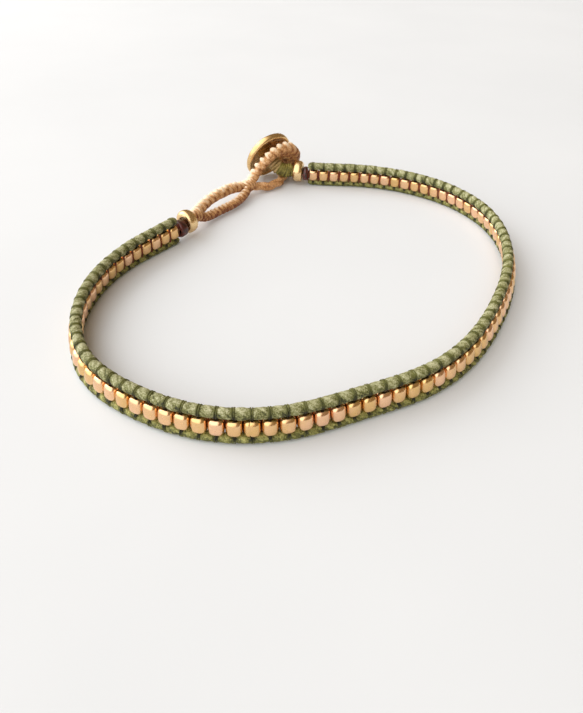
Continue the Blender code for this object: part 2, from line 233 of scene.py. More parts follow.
# Clasp: shifts of the upper strand and of the two fill strands in mm, the part of the loop's
# points that each fill strand follows, and the smooth cords of the loop's far part
UPPER_STRAND_SHIFT = (0.0, 0.0, -0.35)
LOOP_FILL_PART = slice(3, 10)
LOOP_FILL_SHIFT = (-0.95, -0.55, -0.35)
INNER_LOOP_FILL_PART = slice(5, 9)
INNER_LOOP_FILL_SHIFT = (-1.70, -0.35, -0.45)
PLAIN_FROM = 0.62
PLAIN_OVERLAP = 6
PLAIN_CORDS = 3
PLAIN_TURNS = 1.2
PLAIN_SIDES = 20
PLAIN_SEED = 26
PLAIN_CENTRES = 0.46
PLAIN_GIRTH = 0.54
PLAIN_CROWN = 0.36
CORE_SIDES = 16
CLASP_CORE_CROWN = 0.2
STEM_CORE_CROWN = 0.1

# Stem: girth of its wraps, where the green part ends, where the stem swings out, and how far
# its middle and far end hang lower
WRAP_SWELL = 1.08
GREEN_WRAP_TO = 0.52
STEM_SWELL_AT = 0.35
STEM_DROPS = (0.3 * MM, 0.2 * MM)

# Turned pieces: sides, seed and unevenness; the washers' edge as a share of the thickness and
# its most
SPACER_TURNING = (48, 71, 0.006)
LEFT_END_BEAD_TURNING = (64, 61, 0.012)
RIGHT_END_BEAD_TURNING = (64, 62, 0.012)
SPACER_SOFTNESS = (0.34, 0.4 * MM)
END_BEAD_TONE = 0.8

# Button: place along the axis as a share of the thickness, and share of the radius
BUTTON_PROFILE = (
    (-0.10, 0.12), (-0.10, 0.40), (-0.11, 0.62), (-0.14, 0.72), (-0.20, 0.785), (-0.30, 0.815),
    (-0.24, 0.835), (-0.36, 0.86), (-0.45, 0.89), (-0.48, 0.925), (-0.45, 0.96), (-0.36, 0.985),
    (-0.20, 1.00), (0.00, 1.004), (0.20, 1.00), (0.34, 0.985), (0.44, 0.96), (0.47, 0.93),
    (0.44, 0.895), (0.38, 0.865), (0.34, 0.83), (0.33, 0.74), (0.31, 0.60), (0.30, 0.40), (0.30, 0.15),
)
BUTTON_SIDES = 96
BUTTON_SEED = 31
BUTTON_WEAR = (0.004, 0.02 * MM)
BUTTON_TONE = 0.35

# Light and deep tone and roughness of the two brasses
BRASSES = {
    "bead_brass": ((0.93, 0.585, 0.36), (0.81, 0.52, 0.215), 0.22),
    "button_brass": ((0.86, 0.62, 0.33), (0.62, 0.39, 0.15), 0.25),
}

# Painted highlight (pale), body and painted shade (hollow) colours of the cords and threads, and how
# strongly they are flecked
CORDS = {
    "green_cord": ((0.58, 0.57, 0.36), (0.185, 0.185, 0.042), (0.012, 0.015, 0.002), 0.50),
    # The lower edge cord is the same cord as the upper, in a darker copy: painted shade
    "shaded_green_cord": ((0.50, 0.49, 0.17), (0.165, 0.165, 0.028), (0.010, 0.014, 0.001), 0.55),
    "stem_green_cord": ((0.48, 0.40, 0.11), (0.20, 0.165, 0.018), (0.022, 0.018, 0.001), 0.35),
    # The same lacing thread in two copies: painted dark for the shaded upper necks, and painted paler for
    # the lower lacing to offset its shade
    "shaded_green_thread": ((0.18, 0.18, 0.035), (0.050, 0.052, 0.005), (0.004, 0.005, 0.0005), 0.32),
    "lit_green_thread": ((0.34, 0.34, 0.10), (0.115, 0.120, 0.018), (0.008, 0.010, 0.001), 0.32),
    "tan_cord": ((1.0, 0.81, 0.60), (0.66, 0.345, 0.130), (0.20, 0.045, 0.005), 0.28),
    "olive_cord": ((0.70, 0.53, 0.28), (0.40, 0.27, 0.09), (0.07, 0.045, 0.006), 0.28),
    # Dark red-brown of the threads in the bead gaps: painted shade and reflection between beads
    "gap_shade_thread": ((0.34, 0.075, 0.03), (0.20, 0.035, 0.014), (0.06, 0.010, 0.004), 0.32),
}
SPACER_COLOURS = ((0.010, 0.003, 0.002), (0.150, 0.016, 0.010))
FLOOR_COLOURS = ((0.735, 0.762, 0.808), (0.765, 0.792, 0.838))
FLOOR_REACH = 3.0
FLOOR_DROP = 0.01 * MM

# The window light, and the room round it: the side it brightens towards and its colours
WINDOW_PLACE = (-0.42, 0.26, 0.34)
WINDOW_SIZE = (0.60, 0.50)
WINDOW_POWER = 1.60
WINDOW_COLOUR = (1.0, 0.99, 0.98)
ROOM_SIDE = (-0.80, -0.36, 0.48)
ROOM_COLOURS = (
    (0.0, (0.29, 0.22, 0.14)),
    (0.63, (0.29, 0.22, 0.14)),
    (0.71, (0.88, 0.79, 0.66)),
    (0.77, (1.80, 1.76, 1.68)),
    (1.0, (1.94, 1.92, 1.86)),
)

CAMERA_PLACE = (-2.473 * MM, -74.676 * MM, 49.337 * MM)
CAMERA_PITCH = math.radians(42.01)
CAMERA_ROLL = math.radians(1.073)
CAMERA_LENS = 29.345
SENSOR_WIDTH = 36.0
NEAREST_SEEN = 1.0 * MM


def spline_through(points, axes):
    """Natural cubic spline through the points, spaced by their first few columns."""
    steps = np.linalg.norm(np.diff(points[:, :axes], axis=0), axis=1)
    knots = np.concatenate(([0.0], np.cumsum(steps)))
    count = len(points)
    matrix = np.eye(count)
    right = np.zeros_like(points)
    for i in range(1, count - 1):
        before = knots[i] - knots[i - 1]
        after = knots[i + 1] - knots[i]
        matrix[i, i - 1:i + 2] = (before, 2.0 * (before + after), after)
        slope_after = (points[i + 1] - points[i]) / after
        slope_before = (points[i] - points[i - 1]) / before
        right[i] = 6.0 * (slope_after - slope_before)
    bend = np.linalg.solve(matrix, right)

    def values(shares):
        places = shares * knots[-1]
        index = np.clip(np.searchsorted(knots, places) - 1, 0, count - 2)
        width = (knots[index + 1] - knots[index])[:, None]
        a = (knots[index + 1] - places)[:, None] / width
        b = 1.0 - a
        curve = (a ** 3 - a) * bend[index] + (b ** 3 - b) * bend[index + 1]
        return a * points[index] + b * points[index + 1] + curve * width ** 2 / 6.0

    return values


class Route:
    """A smooth line through chosen points, read by its length in its first few columns."""

    SAMPLES = 4000

    def __init__(self, points, axes):
        values = spline_through(np.array(points, dtype=float), axes)
        self.points = values(np.linspace(0.0, 1.0, self.SAMPLES + 1))
        steps = np.linalg.norm(np.diff(self.points[:, :axes], axis=0), axis=1)
        self.reach = np.concatenate(([0.0], np.cumsum(steps)))
        self.length = float(self.reach[-1])

    def at(self, distances):
        """One row of values for each distance."""
        return np.stack([np.interp(distances, self.reach, column) for column in self.points.T], axis=-1)


def unit(vectors):
    return vectors / np.linalg.norm(vectors, axis=-1, keepdims=True)


class Band:
    """The band's middle line and the places of its beads and cords."""

    def __init__(self):
        rows = [(x * MM, y * MM, math.radians(lean)) for x, y, lean in BAND_ROUTE]
        self.line = Route(rows, axes=2)
        self.length = self.line.length
        self.lower_rise = BEAD_LENGTH / 2.0 + CORD_GAP + LOWER_CORD_HEIGHT / 2.0
        self.upper_rise = BEAD_LENGTH / 2.0 + CORD_GAP + UPPER_CORD_HEIGHT / 2.0
        self.start = END_BEAD_LENGTH + FIT_GAP + LEFT_SPACER_THICKNESS + FIT_GAP
        right_end = END_BEAD_LENGTH + FIT_GAP + RIGHT_SPACER_THICKNESS + FIT_GAP
        self.stop = self.length - right_end
        usable = self.stop - self.start
        self.count = int(usable / (BEAD_DIAMETER + BEAD_GAP))
        self.pitch = usable / self.count

    def axes(self, distances):
        """Tangent, outward normal and upward direction of the leaning band, a row each."""
        step = self.pitch / 10.0
        ahead = self.line.at(np.minimum(distances + step, self.length))
        behind = self.line.at(np.maximum(distances - step, 0.0))
        along = ahead - behind
        along[..., 2] = 0.0
        along = unit(along)
        out = np.stack((along[..., 1], -along[..., 0], 0.0 * along[..., 0]), axis=-1)
        lean = self.line.at(distances)[..., 2:3]
        upright = np.array((0.0, 0.0, 1.0))
        up = upright * np.cos(lean) - out * np.sin(lean)
        face = out * np.cos(lean) + upright * np.sin(lean)
        return along, face, up

    def middle(self, distances):
        """Bead centres at these distances."""
        centres = self.line.at(distances)
        centres[..., 2] = LOWER_CORD_HEIGHT / 2.0 + self.lower_rise * self.axes(distances)[2][..., 2]
        return centres

    def raised(self, distance, rise):
        """One place straight above the band's middle."""
        centre = self.middle(np.array([distance]))[0]
        centre[2] += rise
        return centre

    def along(self, distance):
        return self.axes(np.array([distance]))[0][0]


class Shell:
    """Collects tubes of points into one mesh, with named values at its points."""

    def __init__(self):
        self.points = []
        self.faces = []
        self.marks = {}
        self.total = 0

    def tube(self, rings, closed=False, **marks):
        """Adds a skin over rings of points; the ends are capped, or joined if closed."""
        count, sides = rings.shape[:2]
        index = self.total + np.arange(count * sides).reshape(count, sides)
        turned = np.roll(index, -1, axis=1)
        if closed:
            low, high = index, np.roll(index, -1, axis=0)
            low_next, high_next = turned, np.roll(turned, -1, axis=0)
        else:
            low, high = index[:-1], index[1:]
            low_next, high_next = turned[:-1], turned[1:]
            self.faces.append(index[0][::-1].tolist())
            self.faces.append(index[-1].tolist())
        quads = np.stack((low, low_next, high_next, high), axis=-1).reshape(-1, 4)
        self.faces.extend(quads.tolist())
        self.points.append(rings.reshape(-1, 3))
        for name, values in marks.items():
            spread = np.broadcast_to(values, (count, sides)).reshape(-1)
            self.marks.setdefault(name, []).append(spread)
        self.total += count * sides

    def piece(self, name, material):
        """The finished object, smooth shaded."""
        mesh = bpy.data.meshes.new(name)
        mesh.from_pydata(np.concatenate(self.points).tolist(), [], self.faces)
        for mark, values in self.marks.items():
            layer = mesh.attributes.new(mark, "FLOAT", "POINT")
            layer.data.foreach_set("value", np.concatenate(values).astype(np.float32))
        mesh.materials.append(material)
        mesh.shade_smooth()
        item = bpy.data.objects.new(name, mesh)
        bpy.context.scene.collection.objects.link(item)
        return item


def ring_points(centres, first, second, radii):
    """Rings of points round centres, in the planes of two directions."""
    sides = radii.shape[-1]
    angles = TURN * np.arange(sides) / sides
    spokes = first[:, None, :] * np.cos(angles)[None, :, None]
    spokes = spokes + second[:, None, :] * np.sin(angles)[None, :, None]
    return centres[:, None, :] + spokes * radii[:, :, None]


def carried_frames(points, level):
    """Two directions square to a line of points, carried along it without twist."""
    along = unit(np.gradient(points, axis=0))
    first = np.empty_like(points)
    current = np.array(level, dtype=float)
    for i, direction in enumerate(along):
        current = current - direction * current.dot(direction)
        current = current / np.linalg.norm(current)
        first[i] = current
    return first, np.cross(along, first)


def ripple(seed, along, around, span):
    """Soft seeded unevenness over a tube, about -1 to 1, closed round the tube."""
    waves = 7
    rng = np.random.default_rng(seed)
    total = 0.0
    for _ in range(waves):
        rate = rng.uniform(0.4, 1.3) / span
        total = total + np.sin(TURN * rate * along + rng.integers(0, 5) * around + rng.uniform(0.0, TURN))
    return total / math.sqrt(waves)


def fill_ramp(made, stops):
    """Sets the stops of a colour ramp from (place, colour) pairs."""
    elements = made.color_ramp.elements
    while len(elements) < len(stops):
        elements.new(0.5)
    for element, (position, colour) in zip(elements, stops):
        element.position = position
        element.color = (*colour, 1.0)


class Paint:
    """Builds one material's nodes with few words."""

    def __init__(self, name):
        self.material = bpy.data.materials.new(name)
        self.material.use_nodes = True
        self.tree = self.material.node_tree
        self.shader = self.tree.nodes["Principled BSDF"]
        self.place = self.node("ShaderNodeTexCoord").outputs["Object"]

    def node(self, kind, **settings):
        made = self.tree.nodes.new(kind)
        for key, value in settings.items():
            setattr(made, key, value)
        return made

    def feed(self, socket, value):
        if isinstance(value, bpy.types.NodeSocket):
            self.tree.links.new(value, socket)
        else:
            socket.default_value = value

    def noise(self, scale, detail=4.0, roughness=0.55):
        made = self.node("ShaderNodeTexNoise")
        self.feed(made.inputs["Vector"], self.place)
        made.inputs["Scale"].default_value = scale
        made.inputs["Detail"].default_value = detail
        made.inputs["Roughness"].default_value = roughness
        return made.outputs["Fac"]

    def mark(self, name):
        return self.node("ShaderNodeAttribute", attribute_name=name).outputs["Fac"]

    def math(self, operation, first, second):
        made = self.node("ShaderNodeMath", operation=operation)
        self.feed(made.inputs[0], first)
        self.feed(made.inputs[1], second)
        return made.outputs[0]

    def spread(self, value, low, high, new_low, new_high):
        made = self.node("ShaderNodeMapRange")
        for name, number in (("Value", value), ("From Min", low), ("From Max", high),
                             ("To Min", new_low), ("To Max", new_high)):
            self.feed(made.inputs[name], number)
        return made.outputs["Result"]

    def ramp(self, value, *stops):
        made = self.node("ShaderNodeValToRGB")
        fill_ramp(made, stops)
        self.feed(made.inputs["Fac"], value)
        return made.outputs["Color"]

    def bump(self, height, strength, distance):
        made = self.node("ShaderNodeBump")
        made.inputs["Strength"].default_value = strength
        made.inputs["Distance"].default_value = distance
        self.feed(made.inputs["Height"], height)
        self.feed(self.shader.inputs["Normal"], made.outputs["Normal"])

    def finish(self, **inputs):
        for name, value in inputs.items():
            self.feed(self.shader.inputs[name.replace("_", " ")], value)
        return self.material


def brass(name):
    """Satin brass, with uneven tone, soft wear and fine rubbing."""
    light, dark, roughness = BRASSES[name]
    paint = Paint(name)
    cloud = paint.noise(900.0, 3.0)
    own = paint.math("MULTIPLY", paint.mark("tone"), 0.55)
    tone = paint.math("ADD", paint.math("MULTIPLY", cloud, 0.6), own)
    colour = paint.ramp(tone, (0.30, dark), (0.75, light))
    grain = paint.noise(9000.0, 4.0, 0.7)
    paint.bump(grain, 0.06, 0.015 * MM)
    rough = paint.spread(paint.noise(2600.0, 3.0), 0.3, 0.7, roughness - 0.05, roughness + 0.08)
    return paint.finish(Base_Color=colour, Roughness=rough, Metallic=1.0)


def waxed_cord(name):
    """Waxed cord: painted highlight on its crowns and top, painted shade in its folds, with fine fibres and
    flecks.
    """
    pale, body, fold_shade, fleck = CORDS[name]
    paint = Paint(name)
    fibre = paint.noise(6200.0, 5.0, 0.75)
    cloud = paint.noise(1300.0, 4.0, 0.6)
    # The mesh's painted light level, with real fibre flecks and cloudy tone added, picks the painted shade,
    # body or painted highlight colour
    crown = paint.math("ADD", paint.mark("crown"), paint.spread(fibre, 0.3, 0.7, -fleck, fleck))
    crown = paint.math("ADD", crown, paint.spread(cloud, 0.3, 0.7, -0.20, 0.20))
    colour = paint.ramp(crown, (0.04, fold_shade), (0.42, body), (0.92, pale))
    paint.bump(fibre, 0.85, 0.09 * MM)
    return paint.finish(Base_Color=colour, Roughness=0.66, Coat_Weight=0.15, Coat_Roughness=0.45)


def dark_polish(name):
    """Polished dark red-brown washer."""
    deep, glow = SPACER_COLOURS
    paint = Paint(name)
    cloud = paint.noise(1400.0, 5.0, 0.6)
    colour = paint.ramp(cloud, (0.34, deep), (0.70, glow))
    paint.bump(paint.noise(3500.0, 4.0), 0.2, 0.02 * MM)
    return paint.finish(Base_Color=colour, Roughness=0.34, Coat_Weight=0.35, Coat_Roughness=0.12)


def floor_material():
    low, high = FLOOR_COLOURS
    paint = Paint("pale_floor")
    colour = paint.ramp(paint.noise(18.0, 3.0), (0.3, low), (0.7, high))
    paint.bump(paint.noise(400.0, 5.0), 0.05, 0.1 * MM)
    return paint.finish(Base_Color=colour, Roughness=0.75)


def bead_profile():
    """Radius and height of a barrel bead, from its bore at the bottom round to the top."""
    radius = BEAD_DIAMETER / 2.0
    half = BEAD_LENGTH / 2.0
    bore = BEAD_BORE / 2.0
    wide, tall = BEAD_ROUNDING
    lower = [(bore, -half + BEAD_LIP), (bore + BEAD_LIP, -half)]
    for bend in BENDS:
        reach = radius - wide + wide * math.sin(bend) - BEAD_BELLY
        lower.append((reach, -half + tall * (1.0 - math.cos(bend))))
    lower.append((radius - BEAD_BELLY / 3.0, -half * 0.2))
    upper = [(reach, -height) for reach, height in reversed(lower)]
    return np.array(lower + upper)


def make_beads(band, material):
    """The row of drilled barrel beads, rolled from sheet; all but one seam face a neighbour."""
    rng = np.random.default_rng(BEAD_SEED)
    profile = bead_profile()
    sides = np.linspace(0.0, TURN, BEAD_SIDES, endpoint=False)[1:]
    angles = np.concatenate(([-SEAM_WIDTH, 0.0, SEAM_WIDTH], sides))
    depth = np.zeros_like(angles)
    depth[1] = SEAM_DEPTH
    notch = np.where(profile[:, 0:1] > BEAD_DIAMETER * 0.3, depth, 0.0)
    shell = Shell()
    for i in range(band.count):
        place = np.array([band.start + band.pitch * (i + 0.5)])
        along, face, up = (rows[0] for rows in band.axes(place))
        centre = band.middle(place)[0]
        up = unit(up + along * rng.normal(0.0, BEAD_LEANS[0]) + face * rng.normal(0.0, BEAD_LEANS[1]))
        along = unit(along - up * along.dot(up))
        face = np.cross(up, along)
        size = rng.uniform(*BEAD_SIZES)
        hidden = rng.choice((0.0, math.pi)) + rng.uniform(-SEAM_SWING, SEAM_SWING)
        spin = SEAM_IN_FRONT if i == SEAM_BEAD else hidden
        turned = angles + spin
        directions = -face[None, :] * np.sin(turned)[:, None] + along[None, :] * np.cos(turned)[:, None]
        power = BEAD_SQUARENESS + rng.uniform(-SQUARENESS_SWING, SQUARENESS_SWING)
        oval = (np.abs(np.cos(turned)) ** power + np.abs(np.sin(turned)) ** power) ** (-1.0 / power)
        oval = oval * (1.0 + rng.uniform(-OVAL_SWING, OVAL_SWING) * np.cos(2.0 * turned))
        radii = profile[:, 0:1] * size * oval[None, :] - notch
        rings = centre + up * profile[:, 1][:, None, None] + directions[None, :, :] * radii[:, :, None]
        shell.tube(rings, closed=True, tone=rng.uniform(0.0, 1.0))
    return shell.piece("brass_beads", material)


def make_cord(name, band, rise, width, height, seed, material):
    """A plied waxed cord that is drawn in above each bead bore and swells between two."""
    count = band.count * CORD_RINGS + 1
    place = np.linspace(band.start, band.stop, count)
    step = (place - band.start) / band.pitch
    _, face, up = band.axes(place)
    around = TURN * np.arange(CORD_TUBE_SIDES) / CORD_TUBE_SIDES
    swell = np.abs(np.cos(math.pi * step)) ** 0.5
    shape = CORD_NECK + (CORD_SWELL - CORD_NECK) * swell
    from_end = np.minimum(step + 0.08, band.count + 0.08 - step)
    shape = shape * np.clip(from_end / 0.35, 0.0, 1.0) ** 0.4
    rng = np.random.default_rng(seed)
    size = np.interp(step, np.arange(band.count + 1), rng.uniform(*CORD_SIZES, band.count + 1))
    slack = rng.uniform(-CORD_WANDER, CORD_WANDER, band.count // 2 + 2)
    wander = np.interp(step, np.arange(0, band.count + 3, 2.0), slack)
    lay = around[None, :] + (TURN * CORD_LAY * step + wander)[:, None]
    groove = np.abs(np.sin(lay)) ** 0.45
    yarn = np.abs(np.sin(4.0 * lay + 0.6)) ** 0.7
    uneven = ripple(seed, step[:, None], around[None, :], 0.8)
    slant = 2.6 * step[:, None] + 0.35 * around[None, :]
    crease = np.clip(ripple(seed + 7, slant, around[None, :], 1.0), -1.0, 1.0)
    relief = CORD_RELIEF["plain"] + CORD_RELIEF["groove"] * groove + CORD_RELIEF["yarn"] * yarn
    relief = relief + CORD_RELIEF["uneven"] * uneven + CORD_RELIEF["crease"] * crease
    radii = (size * shape)[:, None] * relief
    centres = band.middle(place) + up * rise
    rings = ring_points(centres, face * width / 2.0, up * height / 2.0, radii)
    low = rings[..., 2]
    pressed = CORD_REST * np.exp((low - CORD_REST) / CORD_REST)
    rings[..., 2] = np.where(low < CORD_REST, pressed, low)
    # Painted light and shade: the cord's top is painted paler, and the grooves between plies, its folds and
    # the drawn-in necks are painted darker
    raised = np.clip(np.sin(around), 0.0, 1.0)[None, :]
    crown = (0.06 + 0.44 * swell[:, None]) * (0.15 + 0.50 * groove + 0.35 * yarn)
    crown = crown + 0.26 * raised + 0.06 * uneven + 0.10 * crease
    shell = Shell()
    shell.tube(rings, crown=crown)
    return shell.piece(name, material)


def make_lacing(name, band, rise, width, height, seed, material):
    """Pairs of threads round a cord above each bead bore, and the knot that enters the bore."""
    rng = np.random.default_rng(seed)
    shell = Shell()
    thread = THREAD_DIAMETER / 2.0
    side = math.copysign(1.0, rise)
    turn = TURN * np.arange(THREAD_STEPS) / THREAD_STEPS
    for i in range(band.count):
        base = np.array([band.start + band.pitch * (i + 0.5)])
        along, face, up = (rows[0] for rows in band.axes(base))
        centre = band.middle(base)[0] + up * rise
        skew = rng.normal(0.0, THREAD_SKEW)
        for half in (-1.0, 1.0):
            reach = CORD_NECK + thread / width * rng.uniform(*THREAD_REACH)
            spoke = face * np.cos(turn)[:, None] * width / 2.0
            spoke = spoke + up * np.sin(turn)[:, None] * height / 2.0 * side
            slide = half * THREAD_SPREAD * (1.0 + 0.25 * np.sin(turn) * rng.uniform(0.0, 1.0))
            slide = slide + skew * np.sin(turn)
            path = centre + spoke * reach + along * slide[:, None]
            path[:, 2] = np.maximum(path[:, 2], thread)
            tangent = unit(np.roll(path, -1, axis=0) - np.roll(path, 1, axis=0))
            first = unit(spoke - tangent * np.sum(spoke * tangent, axis=1)[:, None])
            second = np.cross(tangent, first)
            radii = np.full((THREAD_STEPS, THREAD_SIDES), thread)
            # Painted shade: each thread is painted darker where it runs in next to the beads and paler on
            # the cord's outer side
            crown = 0.30 + 0.45 * np.sin(turn)[:, None]
            shell.tube(ring_points(path, first, second, radii), closed=True, crown=crown)
        mouth = BEAD_LENGTH / 2.0
        rises = np.array((mouth - BORE_KNOT_DEPTH, mouth, abs(rise) - height * 0.3))
        path = centre - up * rise + up * (rises * side)[:, None]
        radii = np.repeat(np.array(BORE_KNOT_GIRTHS)[:, None], THREAD_SIDES, axis=1) * BEAD_BORE * 0.45
        level = np.broadcast_to(along, path.shape)
        outward = np.broadcast_to(face, path.shape)
        shell.tube(ring_points(path, level, outward, radii), crown=BORE_KNOT_CROWN)
    return shell.piece(name, material)


def make_gap_shade_threads(band, material):
    """Dark threads put in the gap between two beads, on the inner side, as painted shade and reflection of
    the gap.
    """
    shell = Shell()
    for i in range(band.count + 1):
        base = np.array([band.start + band.pitch * i])
        along, face, up = (rows[0] for rows in band.axes(base))
        heights = np.linspace(-0.5, 0.5, 5) * (BEAD_LENGTH + GAP_SHADE_OVERHANG)
        path = band.middle(base)[0] + face * GAP_SHADE_PLACE + up * heights[:, None]
        radii = np.full((len(path), GAP_SHADE_SIDES), GAP_SHADE_DIAMETER / 2.0)
        level = np.broadcast_to(along, path.shape)
        outward = np.broadcast_to(face, path.shape)
        shell.tube(ring_points(path, level, outward, radii), crown=GAP_SHADE_LEVEL)
    return shell.piece("gap_shade_threads", material)


def hitched(shell, points, radius, seed, girth, pitch, purl, lean=0.22, taper=0.0, shade=0.0, rings=18):
    """A strand covered in half hitches: ribs side by side, with a row of knots along one side."""
    steps = np.linalg.norm(np.diff(points[:, :3], axis=0), axis=1)
    reach = np.concatenate(([0.0], np.cumsum(steps)))
    length = reach[-1]
    hitches = max(2, round(length / pitch))
    place = np.linspace(0.0, length, hitches * rings + 1)
    centres = np.stack([np.interp(place, reach, column) for column in points.T[:3]], axis=-1)
    first, second = carried_frames(centres, STRAND_LEVEL)
    around = TURN * np.arange(HITCH_SIDES) / HITCH_SIDES
    turn = place[:, None] / length * hitches
    uneven = ripple(seed, turn, around[None, :], 1.1)
    towards = np.array(KNOT_SIDE)
    knotward = np.sum(first * towards, axis=1)[:, None] * np.cos(around)
    knotward = knotward + np.sum(second * towards, axis=1)[:, None] * np.sin(around)
    rib = turn + lean * knotward + 0.05 * uneven
    ridge = 1.0 - np.abs(2.0 * (rib - np.floor(rib)) - 1.0) ** 2.2
    ridge = np.sqrt(np.clip(ridge, 0.0, 1.0))
    strand = np.abs(np.sin(TURN * 1.5 * rib + 0.4 * around)) ** 0.6
    knot = np.clip((knotward - KNOT_FROM) / KNOT_REACH, 0.0, 1.0) * np.clip(ridge * 4.0 - 3.0, 0.0, 1.0)
    relief = HITCH_RELIEF["plain"] + HITCH_RELIEF["ridge"] * ridge + HITCH_RELIEF["strand"] * strand
    relief = relief + purl * knot + HITCH_RELIEF["uneven"] * uneven
    radii = radius * girth * relief
    if points.shape[1] > 3:
        radii = radii * np.interp(place, reach, points[:, 3])[:, None]
    if taper:
        edge = np.minimum(place, length - place) / taper
        narrowing = TAPERED_TO + (1.0 - TAPERED_TO) * np.sqrt(np.clip(edge, 0.0, 1.0))
        radii = radii * narrowing[:, None]
    skin = ring_points(centres, first, second, radii)
    skin[..., 2] = np.maximum(skin[..., 2], STRAND_REST)
    # Painted light and shade: grooves between ribs and plies are painted darker, knots and the side facing
    # the window are painted paler, and the shade share darkens the whole strand
    crown = 0.02 - shade + 0.36 * ridge + 0.14 * strand + 0.55 * knot
    shell.tube(skin, crown=crown + 0.20 * knotward + 0.08 * uneven)


def plain_strands(shell, points, radius, seed):
    """Smooth cords that run side by side with a slow twist."""
    first, second = carried_frames(points[:, :3], STRAND_LEVEL)
    share = np.linspace(0.0, 1.0, len(points))
    around = TURN * np.arange(PLAIN_SIDES) / PLAIN_SIDES
    for k in range(PLAIN_CORDS):
        angle = TURN * (k / PLAIN_CORDS + PLAIN_TURNS * share)
        offset = first * np.cos(angle)[:, None] + second * np.sin(angle)[:, None]
        path = points[:, :3] + offset * (radius * PLAIN_CENTRES * points[:, 3])[:, None]
        uneven = ripple(seed + k, share[:, None] * 9.0, around[None, :], 1.4)
        radii = radius * PLAIN_GIRTH * points[:, 3:4] * (1.0 + 0.03 * uneven)
        skin = ring_points(path, *carried_frames(path, STRAND_LEVEL), radii)
        skin[..., 2] = np.maximum(skin[..., 2], STRAND_REST)
        # Painted light: bulges of each strand are painted slightly paler, dips slightly darker
        shell.tube(skin, crown=PLAIN_CROWN + 0.08 * uneven)


def moved(rows, shift):
    """Chosen points moved by a shift in mm, at the plain width."""
    return [(x + shift[0], y + shift[1], height + shift[2], 1.0) for x, y, height, _ in rows]


def clasp_points(rows):
    """Centres of a strand in metres and their width shares, from its chosen points."""
    lift = STRAND_DIAMETER / 2.0
    return [(x * MM, y * MM, height * MM + lift * share, share) for x, y, height, share in rows]


def fine_line(chosen):
    """A smooth line through chosen points in metres, as closely spaced rows."""
    route = Route(chosen, axes=3)
    return route.at(np.linspace(0.0, route.length, int(route.length / LINE_STEP)))


def core_line(band, outer, inner, end):
    """The core's points at both faces of an end bead and beside the bead row."""
    return [
        band.raised(outer, END_BEAD_RISE + CORE_SLOPE),
        band.raised(inner, END_BEAD_RISE - CORE_SLOPE),
        band.raised(end, 0.0),
    ]


def add_core(shell, chosen, crown):
    """The plain cord that runs through an end bead and its spacer."""
    line = fine_line([tuple(point) for point in chosen])
    radii = np.full((len(line), CORE_SIDES), CORE_DIAMETER / 2.0)
    shell.tube(ring_points(line, *carried_frames(line, (0.0, 0.0, 1.0)), radii), crown=crown)


def make_clasp(band, material):
    """The corded clasp: two eyelet strands, the loop and its fill, their bindings and the core."""
    inward = band.along(0.0)
    core = core_line(band, 0.0, END_BEAD_LENGTH, band.start - FIT_GAP)
    root = core[0] - inward * (FIT_GAP + NECK_LENGTH / 2.0)
    start = (*root, 1.0)
    middle = clasp_points([CLASP_MIDDLE])[0]
    upper = clasp_points(moved(UPPER_STRAND, UPPER_STRAND_SHIFT))
    lower = clasp_points(LOWER_STRAND)
    loop = clasp_points(OUTER_LOOP)
    outer = fine_line([middle, *loop, middle])
    cut = int(len(outer) * PLAIN_FROM)
    radius = STRAND_DIAMETER / 2.0
    shell = Shell()
    hitched(shell, fine_line([start, *upper, middle]), radius, **HITCHES["upper_strand"])
    hitched(shell, fine_line([start, *lower, middle]), radius, **HITCHES["lower_strand"])
    hitched(shell, outer[:cut + PLAIN_OVERLAP], radius, **HITCHES["outer_loop"])
    fill = clasp_points(moved(OUTER_LOOP[LOOP_FILL_PART], LOOP_FILL_SHIFT))
    hitched(shell, fine_line(fill), radius, **HITCHES["loop_fill"])
    fill = clasp_points(moved(OUTER_LOOP[INNER_LOOP_FILL_PART], INNER_LOOP_FILL_SHIFT))
    hitched(shell, fine_line(fill), radius, **HITCHES["inner_loop_fill"])
    plain_strands(shell, outer[cut - PLAIN_OVERLAP:], radius, PLAIN_SEED)
    loop_ends = np.array(loop[0][:3]) + np.array(loop[-1][:3])
    course = unit(loop_ends - np.array(upper[-1][:3]) - np.array(lower[-1][:3]))
    for name, centre, half in (
        ("binding", np.array(middle[:3]), course * BINDING_LENGTH / 2.0),
        ("neck", root, inward * NECK_LENGTH / 2.0),
    ):
        line = fine_line([centre - half, centre, centre + half])
        hitched(shell, line, BINDING_WIDTH / 2.0, **HITCHES[name])
    add_core(shell, [core[0] - inward * FIT_GAP * 2.0, *core], CLASP_CORE_CROWN)
    return shell.piece("clasp_cord", material)


def button_axis():
    level = math.cos(BUTTON_LEAN)
    return np.array((level * math.cos(BUTTON_TURN), level * math.sin(BUTTON_TURN), math.sin(BUTTON_LEAN)))


def button_centre():
    rise = BUTTON_DIAMETER / 2.0 * math.cos(BUTTON_LEAN)
    rise += BUTTON_THICKNESS / 2.0 * math.sin(BUTTON_LEAN)
    x, y = BUTTON_PLACE
    return np.array((x * MM, y * MM, rise + BUTTON_FLOOR_GAP))


